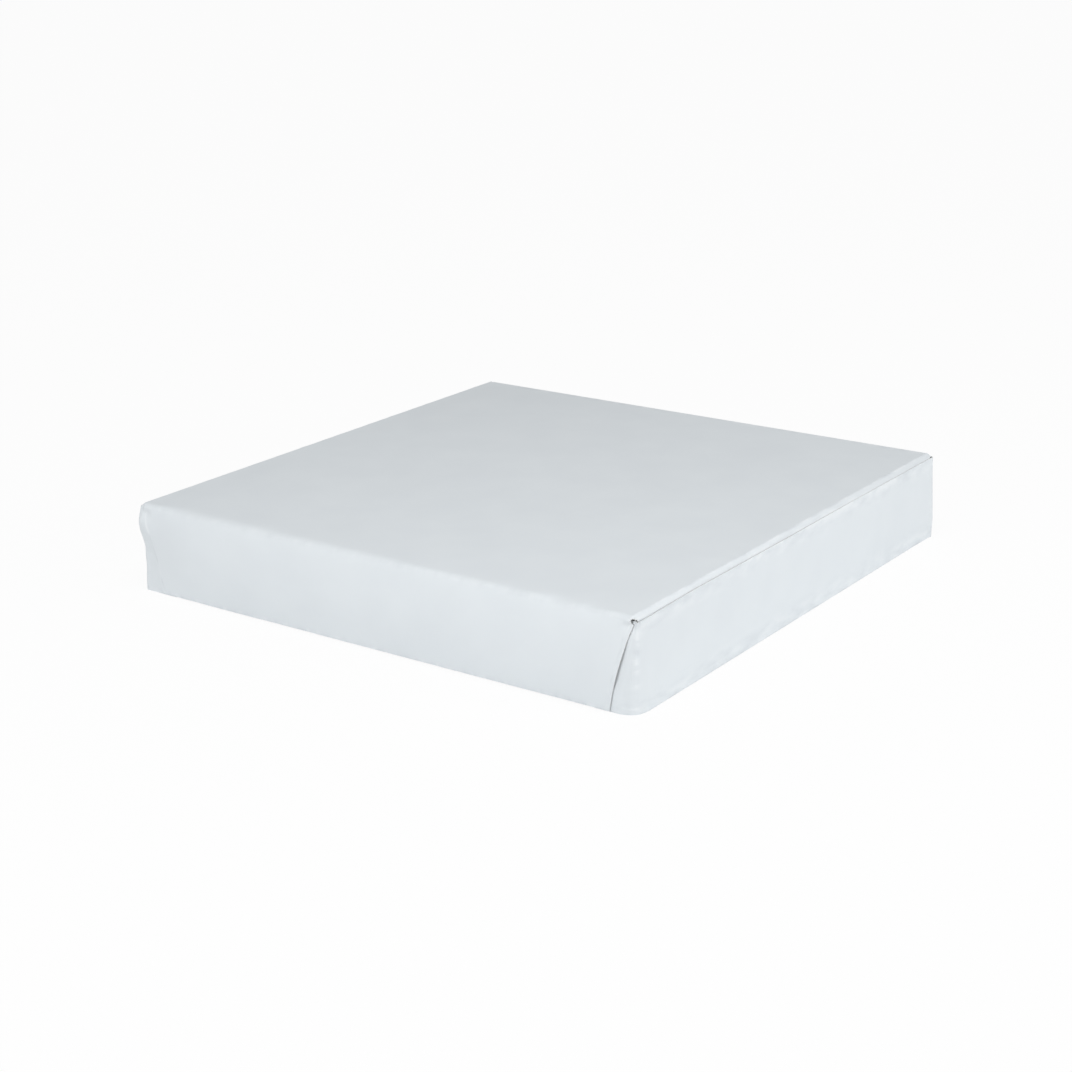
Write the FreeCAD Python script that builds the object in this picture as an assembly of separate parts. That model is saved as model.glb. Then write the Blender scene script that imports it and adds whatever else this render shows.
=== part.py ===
import FreeCAD, Part
import math
import os

Vector = FreeCAD.Vector

# Frame: origin at the middle of the underside, +Z up, the front flap towards -Y,
# the rear fold that the lid turns on towards +Y. All sizes are in millimetres.

# Whole box
TRAY_WIDTH = 304.8
TRAY_DEPTH = 304.8
BOX_HEIGHT = 47.6

# Board and the clearances between its layers
BOARD = 0.6
LAYER_GAP = 0.3
CREASE_GAP = 0.3
LID_SIDE_GAP = 0.4
LID_FRONT_GAP = 0.4

# Tray walls and their softly wrapped corners
SIDE_WALL_HEIGHT = 44.2
FRONT_WALL_HEIGHT = 45.4
CREASE_RADIUS = 0.8
CORNER_FOOT_RADIUS = 5.0
CORNER_RIM_RADIUS = 2.5

# Tabs that wrap from the side walls round the corners
TAB_LENGTH = 58.0
TAB_FULL_LENGTH = 22.0
TAB_TOP_DROP = 9.0
TAB_FOOT_RISE = 7.0

# Hooks that lock the tabs through slits in the front and rear walls
HOOK_HEIGHT = 16.0
HOOK_LIFT = 14.0
HOOK_JOG = 6.0
HOOK_REACH = 10.0
SLIT_CLEARANCE = 0.8

# Lid
FOLD_RADIUS = 3.0
DUST_FLAP_DEPTH = 24.0
DUST_FLAP_TAPER = 11.0
DUST_FLAP_REAR_GAP = 1.2
CORNER_HOLE_RADIUS = 1.5

# Front flap
FLAP_FOOT_LIFT = 0.6
FLAP_FOOT_GAP = 1.2
FLAP_BOW_RADIUS = 93.0
FLAP_END_INSET = 1.6
FLAP_END_TAPER = 12.0
CREASE_TURN = math.radians(45)

# Places that follow from the sizes
HALF_WIDTH = TRAY_WIDTH / 2
HALF_DEPTH = TRAY_DEPTH / 2
WALL_FACE = HALF_DEPTH - BOARD - LAYER_GAP
LID_HALF_WIDTH = HALF_WIDTH - BOARD - LID_SIDE_GAP
PANEL_HALF_WIDTH = LID_HALF_WIDTH - FOLD_RADIUS
FOLD_CENTRE_Y = -(HALF_DEPTH + LID_FRONT_GAP + BOARD - FOLD_RADIUS)
FOLD_CENTRE_Z = BOX_HEIGHT - FOLD_RADIUS
REAR_AXIS_Y = WALL_FACE - BOARD / 2
REAR_AXIS_Z = BOX_HEIGHT - BOARD / 2
REAR_WALL_HEIGHT = BOX_HEIGHT - BOARD - CREASE_GAP
CREASE_CLEARANCE = BOARD / 2 + CREASE_GAP


def line(start, end):
    return Part.LineSegment(start, end).toShape()


def arc(start, middle, end):
    return Part.Arc(start, middle, end).toShape()


def face_of(edges):
    return Part.Face(Part.Wire(edges))


def closed_face(points):
    return Part.Face(Part.makePolygon(points + points[:1]))


def fused(solids):
    return solids[0].multiFuse(solids[1:]).removeSplitter()


def mirror_x(shape):
    return shape.mirror(Vector(0, 0, 0), Vector(1, 0, 0))


def mirror_y(shape):
    return shape.mirror(Vector(0, 0, 0), Vector(0, 1, 0))


def corner_radius(height):
    """Outer radius of a wrapped corner, wide at the foot and tight at the rim."""
    share = height / SIDE_WALL_HEIGHT
    return CORNER_FOOT_RADIUS + (CORNER_RIM_RADIUS - CORNER_FOOT_RADIUS) * share


def band_side(height, inset):
    """One face of the side wall with its two wrapped tabs, seen from above at one height."""
    radius = corner_radius(height) - inset
    side_x = HALF_WIDTH - inset
    end_y = HALF_DEPTH - inset
    tab_x = HALF_WIDTH - TAB_LENGTH
    middle = radius * math.cos(math.pi / 4)

    def at(x, y):
        return Vector(x, y, height)

    return [
        line(at(tab_x, -end_y), at(side_x - radius, -end_y)),
        arc(at(side_x - radius, -end_y),
            at(side_x - radius + middle, -end_y + radius - middle),
            at(side_x, -end_y + radius)),
        line(at(side_x, -end_y + radius), at(side_x, end_y - radius)),
        arc(at(side_x, end_y - radius),
            at(side_x - radius + middle, end_y - radius + middle),
            at(side_x - radius, end_y)),
        line(at(side_x - radius, end_y), at(tab_x, end_y)),
    ]


def band_section(height):
    outer = band_side(height, 0)
    inner = band_side(height, BOARD)
    tab_x = HALF_WIDTH - TAB_LENGTH
    outer_y = HALF_DEPTH
    inner_y = HALF_DEPTH - BOARD
    front_end = line(Vector(tab_x, -outer_y, height), Vector(tab_x, -inner_y, height))
    rear_end = line(Vector(tab_x, outer_y, height), Vector(tab_x, inner_y, height))
    return Part.Wire(Part.sortEdges(outer + [rear_end] + inner + [front_end])[0])


def tab_trim(foot, drop, end_x):
    """Wedge that slopes the upper or the lower edge of a tab towards its end."""
    start_x = HALF_WIDTH - TAB_FULL_LENGTH
    wedge = closed_face([
        Vector(start_x, -HALF_DEPTH - BOARD, foot),
        Vector(end_x, -HALF_DEPTH - BOARD, foot),
        Vector(end_x, -HALF_DEPTH - BOARD, foot + drop),
    ])
    return wedge.extrude(Vector(0, TRAY_DEPTH + 2 * BOARD, 0))


def hook():
    """Tongue on the end of the front tab: it steps through the slit and lies inside the wall."""
    step = 2 * (BOARD + LAYER_GAP)
    root_x = HALF_WIDTH - TAB_LENGTH + HOOK_JOG
    tab_x = HALF_WIDTH - TAB_LENGTH
    inside_x = tab_x - HOOK_JOG
    tip_x = inside_x - HOOK_REACH
    plan = [
        (root_x, -HALF_DEPTH),
        (tab_x, -HALF_DEPTH),
        (inside_x, -HALF_DEPTH + step),
        (tip_x, -HALF_DEPTH + step),
        (tip_x, -HALF_DEPTH + step + BOARD),
        (inside_x, -HALF_DEPTH + step + BOARD),
        (tab_x, -HALF_DEPTH + BOARD),
        (root_x, -HALF_DEPTH + BOARD),
    ]
    face = closed_face([Vector(x, y, HOOK_LIFT) for x, y in plan])
    return face.extrude(Vector(0, 0, HOOK_HEIGHT))


def slit():
    """Room in the front wall for the hook to step through."""
    return Part.makeBox(
        HOOK_JOG + 2 * SLIT_CLEARANCE,
        3 * BOARD,
        HOOK_HEIGHT + 2 * SLIT_CLEARANCE,
        Vector(HALF_WIDTH - TAB_LENGTH - HOOK_JOG - SLIT_CLEARANCE,
               -WALL_FACE - BOARD,
               HOOK_LIFT - SLIT_CLEARANCE))


def side_band():
    """Right side wall in one strip with its front and rear tabs and their hooks."""
    band = Part.makeLoft([band_section(0), band_section(SIDE_WALL_HEIGHT)], True, True)
    end_x = HALF_WIDTH - TAB_LENGTH - BOARD
    band = band.cut(tab_trim(SIDE_WALL_HEIGHT, -TAB_TOP_DROP, end_x))
    band = band.cut(tab_trim(0, TAB_FOOT_RISE, end_x))
    return fused([band, hook(), mirror_y(hook())])


def end_wall(height):
    """Front wall, whose ends stop where the wrapped corners begin to turn."""
    foot_x = HALF_WIDTH - corner_radius(0)
    rim_x = HALF_WIDTH - corner_radius(height)
    plate = closed_face([
        Vector(-foot_x, -WALL_FACE, 0),
        Vector(foot_x, -WALL_FACE, 0),
        Vector(rim_x, -WALL_FACE, height),
        Vector(-rim_x, -WALL_FACE, height),
    ]).extrude(Vector(0, BOARD, 0))
    return plate.cut(slit()).cut(mirror_x(slit()))


def base_panel():
    """Bottom of the tray, cut back in an arc inside each wrapped corner."""
    crease_length = TRAY_DEPTH - 2 * CORNER_FOOT_RADIUS
    panel = Part.makeBox(
        TRAY_WIDTH - 2 * BOARD, crease_length, BOARD,
        Vector(-HALF_WIDTH + BOARD, -crease_length / 2, 0))
    inner_x = HALF_WIDTH - BOARD - LAYER_GAP
    rounded = Part.makeBox(2 * inner_x, 2 * WALL_FACE, BOARD, Vector(-inner_x, -WALL_FACE, 0))
    upright = [edge for edge in rounded.Edges
               if abs(edge.Vertexes[0].Z - edge.Vertexes[1].Z) > BOARD / 2]
    rounded = rounded.makeFillet(CORNER_FOOT_RADIUS - BOARD - LAYER_GAP, upright)
    return panel.fuse(rounded)


def crease_round(face_x, length):
    """Sliver outside the bend between the base and a wall that faces +X."""
    centre_x = face_x - CREASE_RADIUS
    middle = CREASE_RADIUS * math.cos(math.pi / 4)
    start = Vector(centre_x, -length / 2, 0)
    end = Vector(face_x, -length / 2, CREASE_RADIUS)
    bend = arc(start, Vector(centre_x + middle, -length / 2, CREASE_RADIUS - middle), end)
    corner = Vector(face_x + BOARD, -length / 2, -BOARD)
    outline = [
        bend,
        line(end, Vector(corner.x, corner.y, end.z)),
        line(Vector(corner.x, corner.y, end.z), corner),
        line(corner, Vector(start.x, corner.y, corner.z)),
        line(Vector(start.x, corner.y, corner.z), start),
    ]
    return face_of(outline).extrude(Vector(0, length, 0))


def quarter_turn(shape):
    turned = shape.copy()
    turned.rotate(Vector(0, 0, 0), Vector(0, 0, 1), 90)
    return turned


def tray():
    right = side_band()
    front = end_wall(FRONT_WALL_HEIGHT)
    rear = mirror_y(end_wall(REAR_WALL_HEIGHT))
    body = fused([base_panel(), right, mirror_x(right), front, rear])
    side_crease = crease_round(HALF_WIDTH, TRAY_DEPTH - 2 * CORNER_FOOT_RADIUS)
    end_crease = quarter_turn(crease_round(WALL_FACE, TRAY_WIDTH - 2 * CORNER_FOOT_RADIUS))
    for sliver in (side_crease, mirror_x(side_crease), end_crease, mirror_y(end_crease)):
        body = body.cut(sliver)
    return body


def fold_point(radius, turn):
    """Point on the front fold in the YZ plane, turned from the top towards the front."""
    return Vector(0, FOLD_CENTRE_Y - radius * math.sin(turn), FOLD_CENTRE_Z + radius * math.cos(turn))


def lid_cross_section(y):
    """Lid panel with its two side folds and the dust flaps that hang from them."""
    inner_radius = FOLD_RADIUS - BOARD
    middle = math.cos(math.pi / 4)
    foot_z = FOLD_CENTRE_Z - DUST_FLAP_DEPTH

    def half(radius, sign):
        x = PANEL_HALF_WIDTH
        top = Vector(sign * x, y, FOLD_CENTRE_Z + radius)
        side = Vector(sign * (x + radius), y, FOLD_CENTRE_Z)
        bend = Vector(sign * (x + radius * middle), y, FOLD_CENTRE_Z + radius * middle)
        foot = Vector(sign * (x + radius), y, foot_z)
        return top, bend, side, foot

    edges = []
    for radius in (FOLD_RADIUS, inner_radius):
        right_top, right_bend, right_side, right_foot = half(radius, 1)
        left_top, left_bend, left_side, left_foot = half(radius, -1)
        edges.append(line(left_top, right_top))
        edges.append(arc(right_top, right_bend, right_side))
        edges.append(line(right_side, right_foot))
        edges.append(arc(left_top, left_bend, left_side))
        edges.append(line(left_side, left_foot))
    for sign in (1, -1):
        edges.append(line(half(FOLD_RADIUS, sign)[3], half(inner_radius, sign)[3]))
    return face_of(Part.sortEdges(edges)[0])


def dust_flap_trim(end_y, run):
    """Wedge that slopes one end of both dust flaps from the fold down to their lower edge."""
    foot_z = FOLD_CENTRE_Z - DUST_FLAP_DEPTH - BOARD
    beyond = Vector(-TRAY_WIDTH / 2, end_y - math.copysign(BOARD, run), 0)
    wedge = closed_face([
        Vector(beyond.x, beyond.y, FOLD_CENTRE_Z),
        Vector(beyond.x, end_y, FOLD_CENTRE_Z),
        Vector(beyond.x, end_y + run, foot_z),
        Vector(beyond.x, beyond.y, foot_z),
    ])
    return wedge.extrude(Vector(TRAY_WIDTH, 0, 0))


def lid_rear_edge(start_y):
    """Edge of the lid panel that turns in the rear fold, with a round back."""
    bottom = BOX_HEIGHT - BOARD
    outline = [
        line(Vector(0, start_y, bottom), Vector(0, REAR_AXIS_Y, bottom)),
        arc(Vector(0, REAR_AXIS_Y, bottom),
            Vector(0, REAR_AXIS_Y + BOARD / 2, REAR_AXIS_Z),
            Vector(0, REAR_AXIS_Y, BOX_HEIGHT)),
        line(Vector(0, REAR_AXIS_Y, BOX_HEIGHT), Vector(0, start_y, BOX_HEIGHT)),
        line(Vector(0, start_y, BOX_HEIGHT), Vector(0, start_y, bottom)),
    ]
    strip = face_of(outline)
    strip.translate(Vector(-PANEL_HALF_WIDTH, 0, 0))
    return strip.extrude(Vector(2 * PANEL_HALF_WIDTH, 0, 0))


def lid_front_shoulder():
    """Front of the lid panel, turning down as far as the crease of the front flap."""
    inner_radius = FOLD_RADIUS - BOARD
    middle_radius = FOLD_RADIUS - BOARD / 2
    turn = CREASE_TURN - CREASE_CLEARANCE / middle_radius
    outline = [
        arc(fold_point(FOLD_RADIUS, 0), fold_point(FOLD_RADIUS, turn / 2), fold_point(FOLD_RADIUS, turn)),
        line(fold_point(FOLD_RADIUS, turn), fold_point(inner_radius, turn)),
        arc(fold_point(inner_radius, turn), fold_point(inner_radius, turn / 2), fold_point(inner_radius, 0)),
        line(fold_point(inner_radius, 0), fold_point(FOLD_RADIUS, 0)),
    ]
    strip = face_of(outline)
    strip.translate(Vector(-LID_HALF_WIDTH, 0, 0))
    return strip.extrude(Vector(2 * LID_HALF_WIDTH, 0, 0))


def without_corner_holes(shape):
    """Cut the small round reliefs where the front crease meets the side creases."""
    crease_y = fold_point(FOLD_RADIUS - BOARD / 2, CREASE_TURN).y
    place = Vector(LID_HALF_WIDTH, crease_y, FOLD_CENTRE_Z)
    hole = Part.makeCylinder(CORNER_HOLE_RADIUS, 2 * FOLD_RADIUS, place)
    return shape.cut(hole).cut(mirror_x(hole))


def lid():
    rear_y = REAR_AXIS_Y - BOARD / 2 - DUST_FLAP_REAR_GAP
    shell = lid_cross_section(FOLD_CENTRE_Y).extrude(Vector(0, rear_y - FOLD_CENTRE_Y, 0))
    shell = shell.cut(dust_flap_trim(FOLD_CENTRE_Y, DUST_FLAP_TAPER))
    shell = shell.cut(dust_flap_trim(rear_y, -DUST_FLAP_TAPER))
    return without_corner_holes(fused([shell, lid_rear_edge(rear_y), lid_front_shoulder()]))


def bow_start():
    """Turn at which the tight front fold runs on into the wide bow of the flap.

    The bow is tangent to the fold and passes through the foot of the flap.
    """
    spread = FLAP_BOW_RADIUS - FOLD_RADIUS
    foot_y = -(HALF_DEPTH + FLAP_FOOT_GAP + BOARD) - FOLD_CENTRE_Y
    foot_z = FLAP_FOOT_LIFT - FOLD_CENTRE_Z
    reach = math.hypot(foot_y, foot_z)
    share = (reach ** 2 + spread ** 2 - FLAP_BOW_RADIUS ** 2) / (2 * spread * reach)
    return math.acos(share) - math.atan2(-foot_y, -foot_z)


def bow_point(inset, turn):
    """Point on the bowed flap, inset from its outer face, at one turn from the top."""
    start = bow_start()
    spread = FLAP_BOW_RADIUS - FOLD_RADIUS
    centre_y = FOLD_CENTRE_Y + spread * math.sin(start)
    centre_z = FOLD_CENTRE_Z - spread * math.cos(start)
    radius = FLAP_BOW_RADIUS - inset
    return Vector(0, centre_y - radius * math.sin(turn), centre_z + radius * math.cos(turn))


def bow_end():
    """Turn of the bow at the foot of the flap."""
    start = bow_start()
    spread = FLAP_BOW_RADIUS - FOLD_RADIUS
    centre_z = FOLD_CENTRE_Z - spread * math.cos(start)
    return math.acos((FLAP_FOOT_LIFT - centre_z) / FLAP_BOW_RADIUS)


def flap_profile():
    """Section of the front flap: a round crease edge, the fold and the bow down to the foot."""
    start, end = bow_start(), bow_end()
    fold_middle = (CREASE_TURN + start) / 2
    bow_middle = (start + end) / 2
    inner_radius = FOLD_RADIUS - BOARD
    crease = fold_point(FOLD_RADIUS - BOARD / 2, CREASE_TURN)
    along = Vector(0, math.cos(CREASE_TURN), math.sin(CREASE_TURN))
    crease_back = crease + along * (BOARD / 2)
    return face_of([
        arc(fold_point(inner_radius, CREASE_TURN), crease_back, fold_point(FOLD_RADIUS, CREASE_TURN)),
        arc(fold_point(FOLD_RADIUS, CREASE_TURN), fold_point(FOLD_RADIUS, fold_middle),
            fold_point(FOLD_RADIUS, start)),
        arc(bow_point(0, start), bow_point(0, bow_middle), bow_point(0, end)),
        line(bow_point(0, end), bow_point(BOARD, end)),
        arc(bow_point(BOARD, end), bow_point(BOARD, bow_middle), bow_point(BOARD, start)),
        arc(fold_point(inner_radius, start), fold_point(inner_radius, fold_middle),
            fold_point(inner_radius, CREASE_TURN)),
    ])


def flap_outline():
    """Shape of the flap seen from the front, narrower at the foot than at the fold."""
    top_x = HALF_WIDTH - FLAP_END_INSET
    foot_x = top_x - FLAP_END_TAPER
    front_y = FOLD_CENTRE_Y - 3 * FOLD_RADIUS
    outline = closed_face([
        Vector(-top_x, front_y, BOX_HEIGHT),
        Vector(top_x, front_y, BOX_HEIGHT),
        Vector(top_x, front_y, FOLD_CENTRE_Z),
        Vector(foot_x, front_y, 0),
        Vector(-foot_x, front_y, 0),
        Vector(-top_x, front_y, FOLD_CENTRE_Z),
    ])
    return outline.extrude(Vector(0, 4 * FOLD_RADIUS, 0))


def front_flap():
    profile = flap_profile()
    profile.translate(Vector(-HALF_WIDTH, 0, 0))
    sheet = profile.extrude(Vector(TRAY_WIDTH, 0, 0)).common(flap_outline())
    return without_corner_holes(sheet)


def export(shape, name):
    shape.exportStep("parts/" + name + ".step")


os.makedirs("parts", exist_ok=True)
export(tray(), "tray")
export(lid(), "lid")
export(front_flap(), "front_flap")
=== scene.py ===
"""Looks of a closed white paperboard pizza box. Every length is in metres."""
import math

import bmesh
import bpy
from mathutils import Matrix, Vector, noise


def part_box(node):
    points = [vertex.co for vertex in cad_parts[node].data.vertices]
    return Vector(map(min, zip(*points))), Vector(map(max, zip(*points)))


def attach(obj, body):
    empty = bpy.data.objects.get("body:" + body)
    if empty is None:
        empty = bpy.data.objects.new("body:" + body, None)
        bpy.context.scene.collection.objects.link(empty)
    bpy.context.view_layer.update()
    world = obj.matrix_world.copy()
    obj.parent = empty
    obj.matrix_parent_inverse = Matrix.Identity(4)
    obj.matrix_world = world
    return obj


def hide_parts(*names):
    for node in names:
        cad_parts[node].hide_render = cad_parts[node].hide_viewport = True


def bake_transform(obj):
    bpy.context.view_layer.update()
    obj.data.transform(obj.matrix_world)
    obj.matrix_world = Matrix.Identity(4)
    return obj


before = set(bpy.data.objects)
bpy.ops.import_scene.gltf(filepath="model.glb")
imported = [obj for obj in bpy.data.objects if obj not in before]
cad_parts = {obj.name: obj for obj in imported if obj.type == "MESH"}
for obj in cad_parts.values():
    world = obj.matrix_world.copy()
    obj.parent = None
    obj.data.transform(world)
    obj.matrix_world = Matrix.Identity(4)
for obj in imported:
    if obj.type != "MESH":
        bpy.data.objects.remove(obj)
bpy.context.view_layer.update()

MM = 0.001
SAME_PLACE = 1e-7

# Board and layers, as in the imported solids
BOARD = 0.6 * MM
HALF_BOARD = BOARD / 2
LAYER_GAP = 0.3 * MM
CREASE_RADIUS = 0.8 * MM
FOLD_RADIUS = 3.0 * MM
CORNER_RADIUS = 2.5 * MM

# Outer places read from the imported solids
tray_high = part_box("tray")[1]
lid_low, lid_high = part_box("lid")
flap_low, flap_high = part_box("front_flap")
HALF_WIDTH = tray_high.x
HALF_DEPTH = tray_high.y
TOP = lid_high.z
SIDE_WALL_TOP = 44.2 * MM
FRONT_WALL_TOP = 45.4 * MM
WALL_FACE = HALF_DEPTH - BOARD - LAYER_GAP

# Middle of the board in each wall
SIDE_MID = HALF_WIDTH - HALF_BOARD
TAB_MID = HALF_DEPTH - HALF_BOARD
WALL_MID = WALL_FACE - HALF_BOARD
CREASE_MID = CREASE_RADIUS - HALF_BOARD
CREASE_LENGTH = CREASE_MID * math.pi / 2
CREASE_TOP = HALF_BOARD + CREASE_MID
SIDE_CREASE = SIDE_MID - CREASE_MID
END_CREASE = WALL_MID - CREASE_MID
SIDE_WALL_START = SIDE_CREASE + CREASE_LENGTH
END_WALL_START = END_CREASE + CREASE_LENGTH
END_WALL_HALF_WIDTH = HALF_WIDTH - 2.0 * MM
REAR_WALL_HALF_WIDTH = HALF_WIDTH - 3.6 * MM

# Turn of the side walls round the corners
CORNER_MID = CORNER_RADIUS - HALF_BOARD
CORNER_START = TAB_MID - CORNER_MID
CORNER_END = CORNER_START + CORNER_MID * math.pi / 2

# Tabs and hooks, measured along the wall from the corner
TAB_LENGTH = 58.0 * MM
TAB_FULL_LENGTH = 22.0 * MM
TAB_TOP_DROP = 9.0 * MM
TAB_FOOT_RISE = 7.0 * MM
HOOK_HEIGHT = 16.0 * MM
HOOK_LIFT = 14.0 * MM
HOOK_JOG = 6.0 * MM
HOOK_REACH = 10.0 * MM
SLIT_CLEARANCE = 0.8 * MM
TAB_END = CORNER_END + TAB_LENGTH - CORNER_RADIUS
HOOK_END = TAB_END + HOOK_JOG + HOOK_REACH

# Lid and front flap
LID_MID = TOP - HALF_BOARD
PANEL_HALF_WIDTH = lid_high.x - FOLD_RADIUS
DUST_FLAP_MID = lid_high.x - HALF_BOARD
FOLD_MID = FOLD_RADIUS - HALF_BOARD
FOLD_Y = -(HALF_DEPTH + 0.4 * MM + BOARD - FOLD_RADIUS)
FOLD_Z = TOP - FOLD_RADIUS
SIDE_FOLD_LENGTH = FOLD_MID * math.pi / 2
DUST_FLAT_START = PANEL_HALF_WIDTH + SIDE_FOLD_LENGTH
DUST_FLAT_END = DUST_FLAT_START + FOLD_Z - lid_low.z
DUST_FLAP_TAPER = 11.0 * MM
DUST_FLAP_REAR = WALL_FACE - BOARD - 1.2 * MM
SIDE_FOLD_REAR = WALL_FACE
FOLD_BREAK_RADIUS = 0.9 * MM
FOLD_TURN_RADIUS = 0.5 * MM
SHOULDER_REACH = 1.3 * MM
SHOULDER_FLAT_END = DUST_FLAT_START - 0.6 * MM
RELIEF_HOLE = Vector((151.1 * MM, -153.9 * MM))
RELIEF_RADIUS = 1.8 * MM
FLAP_HALF_TOP = flap_high.x
FLAP_END_TAPER = 12.0 * MM
FLAP_FOOT_GAP = 1.2 * MM
BOW_RADIUS = 93.0 * MM
REAR_FOLD_RADIUS = 0.4 * MM
REAR_FOLD_LENGTH = 0.8 * MM
REAR_WALL_TOP = LID_MID - REAR_FOLD_LENGTH
LID_REAR = WALL_MID - REAR_FOLD_LENGTH

# Softness of the used board, as the photograph shows it
FOOT_SPREAD = 0.9 * MM
NEAR_CORNER_PRESS = 10.0 * MM
NEAR_TAB_BELLY = 2.9 * MM
NEAR_SIDE_BELLY = 0.9 * MM
LEFT_CORNER_BELLY = 2.5 * MM
REAR_CORNER_BELLY = 1.1 * MM
RIM_RISE = 0.45 * MM
RIM_RISE_MIDDLE = 0.95 * MM
RIM_RISE_REAR = 0.3 * MM
RIM_TUCK = 0.24 * MM
RIM_TUCK_REAR = 0.2 * MM
LEFT_CORNER_RISE = 1.2 * MM
TUCKED_TAB_RISE = 0.4 * MM
TUCKED_TAB_DEPTH = 1.3 * MM
WALL_END_DROP = 5.5 * MM
PANEL_EDGE_FRONT = 149.1 * MM
PANEL_EDGE_REAR = 148.0 * MM
PANEL_EDGE_LEFT = 150.1 * MM
FRONT_FOLD_DENTS = (
    (82 * MM, 5 * MM, 0.6 * MM),
    (110 * MM, 7 * MM, 1.2 * MM),
    (128 * MM, 5 * MM, 0.5 * MM),
)

# Spacing of the vertices
PANEL_STEP = 5.0 * MM
WALL_STEP = 3.0 * MM
CORNER_STEP = 2.0 * MM
FOLD_STEP = 0.3 * MM
LEAST_STEP = 0.12 * MM
EASE_STEPS = 9

# View of the photograph
CAMERA_AZIMUTH = 35.42
CAMERA_ELEVATION = 18.51
CAMERA_ROLL = -0.71
CAMERA_DISTANCE = 1.1114
CAMERA_OFFSET = (-0.00794, 0.01375)
CAMERA_LENS = 68.845
SENSOR_WIDTH = 36

# Light: the even room, then each lamp's place, target, size and power
ROOM_LIGHT = 0.507
LAMPS = {
    "key": ((1.3, 0.25, 0.4), (0, 0, 0.02), 0.6, 5.74),
    "front": ((-0.05, -1.3, 0.35), (0, 0, 0.02), 0.6, 4.38),
    "above": ((0.25, -0.3, 0.8), (0.1, -0.1, 0.04), 0.4, 1.96),
}
FLOOR_HALF_WIDTH = 6
FLOOR_DROP = 0.05 * MM
FLOOR_GLOW = 0.94


def spread(start, end, step):
    """Evenly spaced places from start to end, both included, at most a step apart."""
    count = max(1, math.ceil(abs(end - start) / step - 1e-6))
    return [start + (end - start) * i / count for i in range(count + 1)]


def both_sides(places):
    return [-p for p in places] + list(places)


def lines_across(cuts, *fillers):
    """Every cut line, in order, and the filler lines that aren't too close to another."""
    kept = sorted(set(cuts))
    for place in sorted(p for filler in fillers for p in filler):
        if all(abs(place - other) > LEAST_STEP for other in kept):
            kept.append(place)
    return sorted(kept)


def smooth(value, start, end):
    """0 before start, 1 after end, with an even ease between them."""
    share = min(max((value - start) / (end - start), 0), 1)
    return share * share * (3 - 2 * share)


def hump(value, centre, width):
    """Smooth bump of height 1 round a centre."""
    return math.exp(-((value - centre) / width) ** 2)


def ripple(x, y, seed, length):
    """Gentle unevenness of hand-folded board, from -1 to 1."""
    return noise.noise(Vector((x / length, y / length, seed)))


def flat_blank(us, vs):
    """Flat sheet of board with a line of vertices at each place across and along."""
    bm = bmesh.new()
    bmesh.ops.create_grid(bm, x_segments=1, y_segments=1, size=0.5)
    size = Matrix.Diagonal((us[-1] - us[0], vs[-1] - vs[0], 1, 1))
    centre = Vector(((us[0] + us[-1]) / 2, (vs[0] + vs[-1]) / 2, 0))
    bmesh.ops.transform(bm, matrix=Matrix.Translation(centre) @ size, verts=bm.verts)
    for places, normal in ((us, Vector((1, 0, 0))), (vs, Vector((0, 1, 0)))):
        for place in places[1:-1]:
            geom = bm.verts[:] + bm.edges[:] + bm.faces[:]
            bmesh.ops.bisect_plane(
                bm, geom=geom, plane_co=normal * place, plane_no=normal, dist=1e-8)
    return bm


def cut_away(bm, is_waste):
    """Remove the faces of a flat blank whose middle is waste."""
    waste = [f for f in bm.faces if is_waste(*f.calc_center_median().xy)]
    bmesh.ops.delete(bm, geom=waste, context="FACES")


def fold(bm, place, crease_light_and_wear):
    """Keep the flat pattern as a UV map, mark how much painted highlight and shade, and worn coat,
    each crease and edge gets, and fold every vertex to its place.
    """
    uv = bm.loops.layers.uv.new("blank")
    for face in bm.faces:
        for loop in face.loops:
            loop[uv].uv = (loop.vert.co.x, loop.vert.co.y)
    # Each vertex keeps how much painted highlight and shade, and worn coat, it gets.
    wear_and_light_share = bm.verts.layers.float.new("crease")
    for vert in bm.verts:
        flat_u, flat_v = vert.co.x, vert.co.y
        vert[wear_and_light_share] = crease_light_and_wear(flat_u, flat_v)
        vert.co = place(flat_u, flat_v)


def board_object(name, bm, materials):
    """Finish a folded sheet: give it its thickness, rounded cut edges and its three finishes."""
    mesh = bpy.data.meshes.new(name)
    bm.to_mesh(mesh)
    bm.free()
    for polygon in mesh.polygons:
        polygon.use_smooth = True
    piece = bpy.data.objects.new(name, mesh)
    bpy.context.scene.collection.objects.link(piece)
    for material in materials:
        mesh.materials.append(material)
    wall = piece.modifiers.new("board", "SOLIDIFY")
    wall.thickness = BOARD
    wall.offset = 0
    wall.use_even_offset = True
    wall.material_offset = 1
    wall.material_offset_rim = 2
    edge = piece.modifiers.new("cut_edge", "BEVEL")
    edge.width = 0.1 * MM
    edge.segments = 2
    edge.limit_method = "ANGLE"
    edge.angle_limit = math.radians(50)
    edge.harden_normals = True
    return piece


def turned_crease(flat, start):
    """Distance out and height up for board that turns up at a crease, from its flat place."""
    run = flat - start
    if run <= 0:
        return flat, HALF_BOARD
    if run < CREASE_LENGTH:
        turn = run / CREASE_MID
        return start + CREASE_MID * math.sin(turn), HALF_BOARD + CREASE_MID * (1 - math.cos(turn))
    return start + CREASE_MID, CREASE_TOP + run - CREASE_LENGTH


def wrapped(along):
    """Plan place of the right side wall, or of its tab once it has turned the rear corner."""
    if along <= CORNER_START:
        return SIDE_MID, along
    centre = SIDE_MID - CORNER_MID
    if along >= CORNER_END:
        return centre - (along - CORNER_END), TAB_MID
    turn = (along - CORNER_START) / CORNER_MID
    return centre + CORNER_MID * math.cos(turn), CORNER_START + CORNER_MID * math.sin(turn)


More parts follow.
